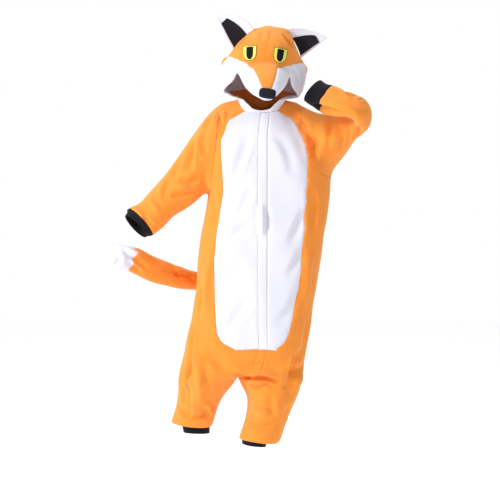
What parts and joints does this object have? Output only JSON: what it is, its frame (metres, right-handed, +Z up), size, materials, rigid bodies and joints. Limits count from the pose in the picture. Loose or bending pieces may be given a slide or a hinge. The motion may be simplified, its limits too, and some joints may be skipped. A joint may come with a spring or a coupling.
{
  "type": "hooded animal onesie",
  "caption": "Worn fleece fox onesie, hollow, with an eared hood over a padded muzzle, button placket, rib cuffs and a stuffed tail held out to one side.",
  "frame": {"origin": "between the wearer's shoulders, inside the garment at the level of the shoulder seams", "axes": "+Z up, the garment's front faces -Y, +X towards the wearer's left"},
  "size_m": [0.9781, 0.5568, 1.5486],
  "materials": {
    "orange_fleece": "brushed fleece, matte",
    "white_fleece": "brushed fleece, matte",
    "black_fleece": "brushed fleece, matte",
    "black_rib": "rib knit, matte",
    "yellow_felt": "felt with a stitched edge",
    "black_felt": "felt, matte"
  },
  "bodies": {
    "root": {"ankle_cuff_left": "black_rib", "ankle_cuff_right": "black_rib", "back_left": "orange_fleece", "back_right": "orange_fleece", "belly_left": "white_fleece", "belly_right": "white_fleece", "cheek_left": "white_fleece", "cheek_right": "white_fleece", "collar_left": "white_fleece", "collar_right": "white_fleece", "ear_back_left": "orange_fleece", "ear_back_right": "orange_fleece", "ear_front_left": "white_fleece", "ear_front_right": "white_fleece", "ear_inside_left": "black_fleece", "ear_inside_right": "black_fleece", "eye_left": "yellow_felt", "eye_right": "yellow_felt", "front_left": "orange_fleece", "front_right": "orange_fleece", "hood_left": "orange_fleece", "hood_lining": "white_fleece", "hood_right": "orange_fleece", "muzzle_top": "orange_fleece", "nose": "black_fleece", "placket_orange": "orange_fleece", "placket_white": "white_fleece", "pupil_left": "black_felt", "pupil_right": "black_felt", "sleeve_left": "orange_fleece", "sleeve_right": "orange_fleece", "tail_body": "orange_fleece", "tail_tip": "white_fleece", "wrist_cuff_left": "black_rib", "wrist_cuff_right": "black_rib"}
  },
  "joints": []
}
